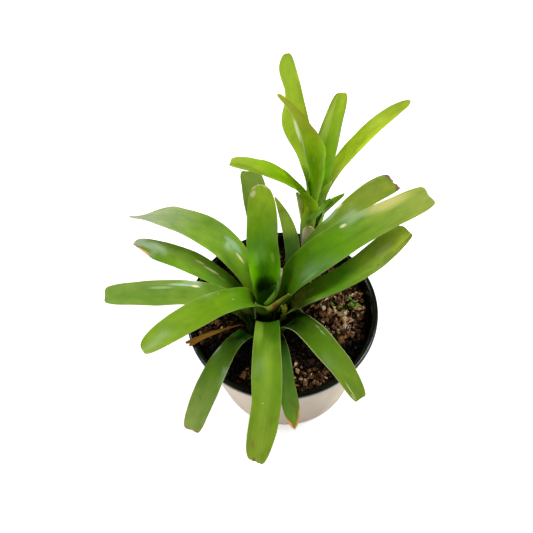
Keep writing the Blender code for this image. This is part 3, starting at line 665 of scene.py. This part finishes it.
# each leaflet: where it is rooted, bearing, length and width
seedlings = {
    "rightSeedling": [(45, 10.4, -55, 7.2, 1.32), (47, 7, -45, 6.6, 1.2), (49.8, 4.5, -57, 7.2, 1.56)],
    "middleSeedling": [(45, 4.1, -40, 7.2, 1.44), (45.5, 5, -80, 4.8, 0.96)],
    "leftSeedling": [(38.2, 3.9, -54, 6.6, 1.08), (40.4, 0.2, -54, 6, 1.32)],
    "smallSeedling": [(33.7, 6.1, -66, 5.4, 1.32), (36.7, 6.1, -125, 5.4, 0.96)],
}
for name, leaflets in seedlings.items():
    node = "seedling_" + name.removesuffix("Seedling")
    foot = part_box(node)[0].z / mm + seedlingLeaf["lift"]
    for i, (x, y, at, length, width) in enumerate(leaflets):
        leaflet = {**seedlingLeaf, "at": at, "length": length, "width": width}
        part = name + str(i + 1)
        sheet = leafSheet(leaflet, (x, y), foot, upright)
        sheetPiece(part, *sheet, leafFinish(part + "Green", leaflet), "seedling", *([node] if i == 0 else []))
print("dry leaf and", len(seedlings), "seedlings")

pot = dict(rim=65.0, height=86.0, lipReach=2.6, lipHeight=3.8, foot=51.8, wall=1.6, floor=2.4, corner=2.0,
    wallHeight=82.0, steps=192)


def potProfile():
    # once round the section as (radius, height): up the inside, over the rolled lip and down the outside
    rim, height, foot, wall = pot["rim"], pot["height"], pot["foot"], pot["wall"]
    floor, corner = pot["floor"], pot["corner"]
    top, lipBottom = rim - pot["lipReach"], height - pot["lipHeight"]
    line = [(0.0, floor), (foot - wall - corner, floor), (foot - wall, floor + corner)]
    line += [(foot - wall + (top - foot) * t, floor + corner + (lipBottom - floor - corner) * t)
             for t in np.linspace(0.05, 1.0, 16)]
    roll = ((0.15, 1.6), (0.5, 0.7), (1.1, 0.15), (1.9, 0.0))
    line += [(top - wall + over, height - below) for over, below in roll]
    line += [(rim - 1.5 + 1.5 * math.sin(a), height - 1.5 + 1.5 * math.cos(a))
             for a in np.linspace(0.1, math.pi / 2.0, 6)]
    line += [(rim, lipBottom + 0.7), (rim - 0.2, lipBottom + 0.2), (rim - 0.7, lipBottom),
             (top + 0.5, lipBottom), (top, lipBottom - 0.4)]
    line += [(foot + (top - foot) * t, 1.6 + (lipBottom - 2.0) * t) for t in np.linspace(0.98, 0.0, 24)]
    return line + [(foot - 0.15, 0.9), (foot - 0.6, 0.3), (foot - 1.6, 0.0), (0.0, 0.0)]


def potFinish():
    finish = Finish("potPlastic")
    spot = finish.spot()
    x, y, z = finish.parts(spot)
    radius = (x * x + y * y) ** 0.5
    slope = (pot["rim"] - pot["lipReach"] - pot["foot"]) / pot["wallHeight"]
    wallRadius = (pot["foot"] + (z * 1000.0) * slope) * mm
    # only the outer face of the wall is pale, up to the lip; the lip and the inside are black
    mask = finish.rise(radius - wallRadius, -0.0010, -0.0006) * finish.rise(z, 0.0823, 0.0819)
    smear = finish.cloud(spot, 38.0, 4.0, 0.6)
    fleck = finish.cloud(spot, 900.0, 2.0, 0.6)
    # painted reflection and shade: the wall is painted browner on the side towards the viewer and creamier at
    # the sides; soft upright bands lighten and darken it
    turn = x.math("ARCTAN2", x, 0.0 - y)
    bands = finish.cloud(finish.place(turn * 1.6, z * 8.0), 1.6, 1.0, 0.4)
    paintedShadeFront = finish.rise(abs(turn - 0.14), 0.75, 0.2)
    taupe = finish.mix((212, 190, 164), (168, 148, 122), paintedShadeFront)
    taupe = finish.mix(taupe, (226, 212, 190), finish.rise(bands, 0.45, 0.8) * 0.35)
    taupe = finish.mix(taupe, (150, 132, 110), finish.rise(bands, 0.55, 0.2) * 0.25)
    taupe = finish.mix(taupe, (176, 158, 136), smear * 0.2)
    black = finish.mix((5, 5, 5), (16, 16, 14), smear)
    rough = 0.2 + mask * 0.22 + finish.rise(smear, 0.4, 0.8) * 0.12
    return finish.surface({"Base Color": finish.mix(black, taupe, mask), "Roughness": rough,
                           "Normal": finish.bump(smear * 0.6 + fleck * 0.08, 0.0002, 0.35)})


def ringPoints(radius, height, steps):
    turns = [fullTurn * k / steps for k in range(steps)]
    return [(radius * mm * math.cos(turn), radius * mm * math.sin(turn), height * mm) for turn in turns]


profile = potProfile()
potPoints = [point for radius, height in profile for point in ringPoints(radius, height, pot["steps"])]
potFaces = ringFaces(len(profile), pot["steps"])
faceOutwards(pieceFrom("potBody", potPoints, potFaces, potFinish(), "pot_plastic", "pot"), weld=True)
print("pot turned")

mix = dict(top=77.0, sag=2.0, flat=26.0, radius=59.3, bottom=3.0, footRadius=49.0, sunk=1.4, relief=1.1,
    rings=70, steps=180, clear=1.2, fibres=150, fibreClear=6.0, dull=0.1)
# where the mix is pale, partly dry and partly painted light: x, y, reach and how pale, with below zero
# painted shade by the wall; everywhere else it is almost black, partly damp and partly painted shade
palePatches = [(36, 1, 17, 0.9), (41, -14, 9.5, 0.85), (51, 4, 9, 0.7), (12, -50, 8, 0.7), (7, -39, 5, 0.7),
    (22, -46, 8, 0.4), (-12, -44, 6, 0.4), (-42, -2, 13, 0.35), (18, 38, 14, 0.3), (-8, 46, 12, 0.35),
    (34, 26, 14, 0.4), (-47, -4, 7, 0.45), (-59, -14, 5, 0.9), (-25, -42, 5, 0.45), (47, -32, 7, -0.6)]


def mixHeight(radius):
    return mix["top"] - mix["sag"] * np.clip((radius - mix["flat"]) / (mix["radius"] - mix["flat"]), 0.0, 1.0)


def paleness(x, y):
    pale = sum(amount * math.exp(-((x - px) ** 2 + (y - py) ** 2) / reach ** 2)
               for px, py, reach, amount in palePatches)
    clump = 0.5 + 0.9 * noise.noise(Vector((x, y, 7.0)) * 0.3)
    return mix["dull"] + min(pale, 1.0) * (0.5 + 0.6 * clump)


def mixBed():
    verts = []
    for i in range(mix["rings"] + 1):
        radius = mix["radius"] * i / mix["rings"]
        for k in range(mix["steps"]):
            turn = fullTurn * k / mix["steps"]
            x, y = radius * math.cos(turn), radius * math.sin(turn)
            lump = noise.fractal(Vector((x, y, 3.0)) * 0.35, 0.8, 2.2, 4) * mix["relief"]
            verts.append((x * mm, y * mm, (mixHeight(radius) - mix["sunk"] + lump) * mm))
    verts += ringPoints(mix["footRadius"], mix["bottom"], mix["steps"])
    # the rings run outwards, so each face is turned over to look up
    faces = [(a, d, c, b) for a, b, c, d in ringFaces(mix["rings"] + 2, mix["steps"])]
    return verts, faces + [tuple(len(verts) - 1 - k for k in range(mix["steps"]))]


def bedFinish():
    finish = Finish("darkMixAndGapShade")
    grain = finish.cloud(finish.spot(), 700.0, 5.0, 0.7)
    # nearly black: partly damp mix and partly painted shade in the gaps between the chips
    colour = finish.ramp(grain, [(0.35, (5, 3, 2)), (0.6, (18, 11, 7)), (0.75, (52, 32, 20))])
    return finish.surface({"Base Color": colour, "Roughness": 0.75 + grain * 0.15, "Specular IOR Level": 0.1,
                           "Normal": finish.bump(grain, 0.0008, 0.8)})


pieceFrom("mixBed", *mixBed(), bedFinish(), "bark_mix", "potting_mix")


def shard(levels, corners):
    # an uneven many-cornered solid of unit size; levels are (height, width) from the bottom up
    turns = (np.arange(corners) + draw.uniform(-0.3, 0.3, corners)) * fullTurn / corners
    reach = draw.uniform(0.5, 1.15, corners)
    outline = np.stack([np.cos(turns) * reach, np.sin(turns) * reach], -1)
    rings = []
    for height, width in levels:
        ring = outline * width * draw.uniform(0.85, 1.1, (corners, 1)) + draw.uniform(-0.08, 0.08, 2)
        rings.append(np.column_stack([ring, height + draw.uniform(-0.15, 0.15, corners)]))
    return np.vstack(rings), tubeFaces(len(levels), corners)


def spinMatrix(a, b, c):
    return np.array(Matrix.Rotation(a, 3, "Z") @ Matrix.Rotation(b, 3, "X") @ Matrix.Rotation(c, 3, "Y"))


class Heap:
    # many small solids gathered into one piece, each with its own shade in the mark "shade"
    def __init__(self):
        self.verts, self.faces, self.shades, self.total = [], [], [], 0

    def put(self, body, faces, centre, shade):
        centre = np.array(centre)
        reach = np.hypot(*(body[:, :2] + centre[:2]).T).max()
        if reach > mix["radius"]:
            centre[:2] *= max(0.0, 1.0 - (reach - mix["radius"]) / max(np.hypot(*centre[:2]), 1.0))
        self.verts.append((body + centre) * mm)
        self.faces += [tuple(i + self.total for i in f) for f in faces]
        self.shades += [shade] * len(body)
        self.total += len(body)

    def piece(self, name, finish):
        piece = pieceFrom(name, np.vstack(self.verts), self.faces, finish, "bark_mix",
                          marks={"shade": np.array(self.shades)})
        piece.data.polygons.foreach_set("use_smooth", [False] * len(piece.data.polygons))


def scatter(heap, grain):
    (small, large), (deep, high), tilt = grain["size"], grain["rise"], grain["tilt"]
    for _ in range(grain["count"]):
        radius = math.sqrt(draw.uniform(0.0, 1.0)) * (mix["radius"] - mix["clear"])
        turn = draw.uniform(0.0, fullTurn)
        x, y = radius * math.cos(turn), radius * math.sin(turn)
        size = small + (large - small) * draw.uniform(0.0, 1.0) ** 2.2
        body, faces = shard(grain["levels"], grain["corners"])
        body = body * np.array([1.0, draw.uniform(*grain["stretch"]), draw.uniform(*grain["thick"])]) * size
        spin = spinMatrix(draw.uniform(0.0, 6.28), draw.uniform(-tilt, tilt), draw.uniform(-tilt, tilt))
        body = body @ spin.T
        lift = draw.uniform(0.0, 1.0)
        # the ones lying deeper are in shade, so they are darker
        shade = paleness(x, y) * grain["bright"] * (0.15 + 0.85 * lift) * draw.uniform(0.25, 2.0)
        heap.put(body, faces, (x, y, mixHeight(radius) + deep + (high - deep) * lift), shade)


def barkFinish(name, dry, gloss):
    finish = Finish(name)
    shade = finish.add("Attribute", {"attribute_name": "shade"}, out="Fac")
    spot = finish.spot()
    x, y, z = finish.parts(spot)
    grain = finish.cloud(finish.place(x * 3.0, y, z), 900.0, 4.0, 0.65)
    rust = finish.cloud(spot, 170.0, 2.0, 0.5)
    stops = [(0.02, (6, 3, 2)), (0.16, (26, 15, 8)), (0.32, (74, 46, 26)), (0.52, (128, 88, 54)),
             (0.7, (172, 132, 90)), (0.86, (208, 176, 132)), (1.0, (240, 220, 190))]
    colour = finish.ramp(shade + (grain - 0.5) * 0.35, stops)
    colour = finish.mix(colour, (1.1, 0.78, 0.6, 1.0), finish.rise(rust, 0.42, 0.58) * 0.8, "MULTIPLY")
    return finish.surface({"Base Color": colour, "Roughness": dry + grain * 0.3, "Specular IOR Level": gloss,
                           "Normal": finish.bump(grain, 0.0004, 0.6)})


stones = ((-1.0, 0.6), (-0.3, 1.0), (0.45, 0.85), (1.0, 0.45))
flakes = ((-1.0, 0.95), (1.0, 0.85))
# what is strewn over the bed; finish holds the material's name, how dry and how glossy it is
grains = {
    "barkLumps": dict(count=1100, bright=1.15, levels=stones, corners=7, size=(1.3, 4.0),
        stretch=(0.45, 0.95), thick=(0.4, 0.8), rise=(-2.0, 0.8), tilt=0.6, finish=("bark", 0.5, 0.2)),
    "barkFlakes": dict(count=4300, bright=1.05, levels=flakes, corners=6, size=(0.4, 2.3),
        stretch=(0.2, 0.6), thick=(0.1, 0.25), rise=(-0.9, 1.0), tilt=0.9, finish=("barkFlake", 0.4, 0.3)),
    "barkCrumbs": dict(count=5200, bright=0.85, levels=flakes, corners=5, size=(0.22, 0.75),
        stretch=(0.5, 0.95), thick=(0.4, 0.8), rise=(-0.6, 1.2), tilt=0.9, finish=("barkCrumb", 0.25, 0.5)),
}
heaps = {name: Heap() for name in grains}
for name, grain in grains.items():
    scatter(heaps[name], grain)

# single chips that stand out: x, y, length, width, shade
chips = [(27, -3, 3.4, 2.2, 0.46), (30.5, -7.5, 2.4, 1.8, 0.55), (42, -12.5, 3, 1.8, 0.95),
    (37, -17, 2.6, 1.4, 0.8), (41.5, -20.5, 2.4, 1.3, 0.78), (46, -20, 1.9, 1.2, 0.62),
    (51, 1, 2.2, 1.2, 0.85), (55, -3, 1.9, 1, 0.8), (53.5, -7, 1.6, 1.1, 0.7), (25, 3, 2.6, 1.1, 0.62),
    (21.5, 4.5, 2.2, 0.9, 0.66), (6.5, -38, 1.9, 1.5, 1), (10, -40.5, 0.9, 0.7, 1),
    (15.5, -47.5, 2.5, 2, 0.5), (23, -47.5, 2.2, 1.6, 0.42), (12, -50.5, 1.8, 1.1, 0.6),
    (5.5, -48, 1.6, 1, 0.9), (19.5, -51.5, 1.6, 1.1, 0.75), (45.5, 10, 2.4, 1.4, 0.45),
    (35, 5.5, 2.4, 1.3, 0.5), (-36, -9, 1.8, 0.8, 0.5), (36, -9, 2.6, 2, 0.5), (33, -1, 2.2, 1.6, 0.42),
    (39, -14, 2.2, 1.5, 0.66), (-59.5, -9.5, 1.6, 1, 0.8), (-57.5, -17.5, 2.2, 0.9, 0.85),
    (-48, -2.5, 1.6, 0.8, 0.6), (-44, -4.5, 2, 0.7, 0.55), (43.5, -17, 2.3, 1.2, 0.72),
    (35, -14, 2.3, 1.5, 0.5), (39.5, 2, 1.9, 1.3, 0.55)]
for x, y, length, width, shade in chips:
    body, faces = shard(stones, 9)
    body = body * np.array([length, width, 0.9]) @ spinMatrix(draw.uniform(0.0, 6.28), 0.25, -0.2).T
    heaps["barkLumps"].put(body, faces, (x, y, mixHeight(math.hypot(x, y)) + 0.5), shade)
for name, grain in grains.items():
    heaps[name].piece(name, barkFinish(*grain["finish"]))


def fibre(heap, start, end, arch, thick, shade):
    # a thin root or bark fibre from start to end, arched sideways and upwards by so many millimetres
    start, end = np.array(start), np.array(end)
    along = (end - start) / np.linalg.norm(end - start)
    across = np.cross(along, (0.0, 0.0, 1.0))
    steps, corners = 10, 5
    t = np.linspace(0.0, 1.0, steps + 1)[:, None]
    bend = across * arch[0] + np.array((0.0, 0.0, arch[1]))
    line = start + (end - start) * t + bend * np.sin(t * math.pi)
    turns = np.arange(corners) * fullTurn / corners
    ring = np.cos(turns)[:, None] * across + np.sin(turns)[:, None] * np.cross(across, along)
    verts = (line[:, None, :] + ring * thick * (1.0 - 0.5 * t[..., None])).reshape(-1, 3)
    heap.put(verts, tubeFaces(steps + 1, corners), (0.0, 0.0, 0.0), shade)


fibreHeap = Heap()
for _ in range(mix["fibres"]):
    radius = math.sqrt(draw.uniform(0.0, 1.0)) * (mix["radius"] - mix["fibreClear"])
    turn, heading, length = draw.uniform(0.0, 6.28), draw.uniform(0.0, 6.28), draw.uniform(2.0, 7.0)
    x, y, z = radius * math.cos(turn), radius * math.sin(turn), mixHeight(radius) + draw.uniform(0.2, 1.0)
    end = (x + length * math.cos(heading), y + length * math.sin(heading), z + draw.uniform(-0.6, 0.8))
    fibre(fibreHeap, (x, y, z), end, (draw.uniform(-1.2, 1.2), draw.uniform(-0.2, 0.6)),
          draw.uniform(0.08, 0.17), paleness(x, y) * draw.uniform(0.5, 1.1))
# pale rootlets that arch out from the crown's foot and over the mix: start, end, arch
rootlets = [((6.4, -10.2, 112.0), (12.3, -15.0, 108.0), (0.4, -0.6)),
            ((11.6, -15.5, 109.0), (17.1, -10.8, 109.5), (-0.4, 1.0)),
            ((42.0, 2.5, 78.5), (43.0, 8.5, 84.0), (0.4, 0.3)),
            ((30.0, 8.0, 78.5), (26.5, 2.5, 79.0), (0.5, 0.8))]
for start, end, arch in rootlets:
    fibre(fibreHeap, start, end, arch, 0.32, 0.85)
fibreHeap.piece("barkFibres", barkFinish("barkFibre", 0.5, 0.2))
print("potting mix:", ", ".join(str(grain["count"]) + " " + name for name, grain in grains.items()))


def stemFinish(name, low, high):
    finish = Finish(name)
    x, y, z = finish.parts(finish.spot())
    rings = finish.cloud(finish.place(x * 0.3, y * 0.3, z), 900.0, 3.0, 0.6)
    return finish.surface({"Base Color": finish.mix(low, high, rings), "Roughness": 0.5 + rings * 0.2,
                           "Normal": finish.bump(rings, 0.0004, 0.6)})


def stemPiece(name, node, low, high):
    bottom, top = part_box(node)
    centre, radius = (bottom + top) / 2.0, (top.x - bottom.x) / 2.0
    steps, levels = 32, 24
    verts = []
    for i in range(levels + 1):
        t = i / levels
        bulge = 0.93 - 0.07 * t + 0.05 * math.sin(t * 26.0)
        bulge *= math.sqrt(max(1.0 - max(0.0, (t - 0.9) / 0.1) ** 2 * 0.75, 0.05))
        z = bottom.z + (top.z - bottom.z) * t
        for x, y, _ in ringPoints(radius * bulge / mm, 0.0, steps):
            verts.append((centre.x + x, centre.y + y, z))
    pieceFrom(name, verts, tubeFaces(levels + 1, steps), stemFinish(name + "Skin", low, high), "stem", node)


stemPiece("crownStem", "stem", (60, 74, 30), (110, 116, 60))
stemPiece("offsetStem", "offset_stem", (84, 92, 70), (128, 136, 108))
print("stems")


def floorFinish():
    finish = Finish("paleFloor")
    grain = finish.cloud(finish.spot(), 6.0, 3.0, 0.5)
    colour = finish.mix((246, 246, 244), (252, 252, 252), grain)
    return finish.surface({"Base Color": colour, "Roughness": 0.9, "Emission Color": (1.0, 1.0, 1.0, 1.0),
                           "Emission Strength": 0.62})


bpy.ops.mesh.primitive_plane_add(size=60.0, location=(0.0, 0.0, -0.0005))
floor = bpy.context.object
floor.name = "floor"
floor.data.materials.append(floorFinish())

eye = dict(spot=(0.0, -0.201748, 0.431395), down=55.607, turn=-2.044, tilt=-5.91, lens=39.71)


def placeCamera():
    down, turn, tilt = (math.radians(eye[key]) for key in ("down", "turn", "tilt"))
    look = Vector((math.sin(turn) * math.cos(down), math.cos(turn) * math.cos(down), -math.sin(down)))
    right = Vector((math.cos(turn), -math.sin(turn), 0.0))
    up = right.cross(look)
    rightTilted = math.cos(tilt) * right + math.sin(tilt) * up
    upTilted = -math.sin(tilt) * right + math.cos(tilt) * up
    camera = bpy.data.objects.new("camera", bpy.data.cameras.new("camera"))
    camera.matrix_world = Matrix((rightTilted, upTilted, -look)).transposed().to_4x4()
    camera.location = eye["spot"]
    camera.data.lens = eye["lens"]
    camera.data.sensor_width = 36.0
    camera.data.clip_start, camera.data.clip_end = 0.01, 20.0
    scene.collection.objects.link(camera)
    scene.camera = camera


# each light: turn from the viewer's side towards the right and height above the table in degrees, how far
# off, its size, power and colour, and whether the leaves mirror it
aim = (0.0, 0.0, 0.12)
lights = {
    "rightLight": (98, 52, 1.2, (0.34, 0.34), 6.5, (0.9, 0.96, 1.0), True),
    "leftLight": (-112, 50, 1.2, (0.36, 0.36), 6.0, (0.9, 0.96, 1.0), True),
    "topLight": (160, 80, 1.3, (0.5, 0.5), 12.0, (1.0, 1.0, 1.0), False),
    "frontLight": (5, 40, 1.4, (0.8, 0.5), 1.3, (1.0, 0.98, 0.95), False),
}


def softbox(name, turn, height, reach, size, power, colour, shines):
    a, e = math.radians(turn), math.radians(height)
    near = reach * math.cos(e)
    spot = (near * math.sin(a), -near * math.cos(a), aim[2] + reach * math.sin(e))
    lamp = bpy.data.objects.new(name, bpy.data.lights.new(name, "AREA"))
    lamp.data.shape = "RECTANGLE"
    lamp.data.size, lamp.data.size_y = size
    lamp.data.energy = power
    lamp.data.color = colour
    lamp.location = spot
    lamp.visible_glossy = shines
    lamp.rotation_euler = (Vector(aim) - Vector(spot)).to_track_quat("-Z", "Y").to_euler()
    scene.collection.objects.link(lamp)


placeCamera()
for name, light in lights.items():
    softbox(name, *light)
world = bpy.data.worlds.new("studio")
world.use_nodes = True
backdrop = world.node_tree.nodes["Background"].inputs
backdrop["Color"].default_value = (1.0, 1.0, 1.0, 1.0)
# the wall behind looks as pale as the far floor, yet hardly lights the plant
seen = world.node_tree.nodes.new("ShaderNodeLightPath").outputs["Is Camera Ray"]
glow = world.node_tree.nodes.new("ShaderNodeMapRange")
glow.inputs["To Min"].default_value, glow.inputs["To Max"].default_value = 0.05, 0.66
world.node_tree.links.new(seen, glow.inputs["Value"])
world.node_tree.links.new(glow.outputs["Result"], backdrop["Strength"])
scene.world = world
scene.view_settings.view_transform = "Standard"
scene.view_settings.look = "None"
print("camera and lights")
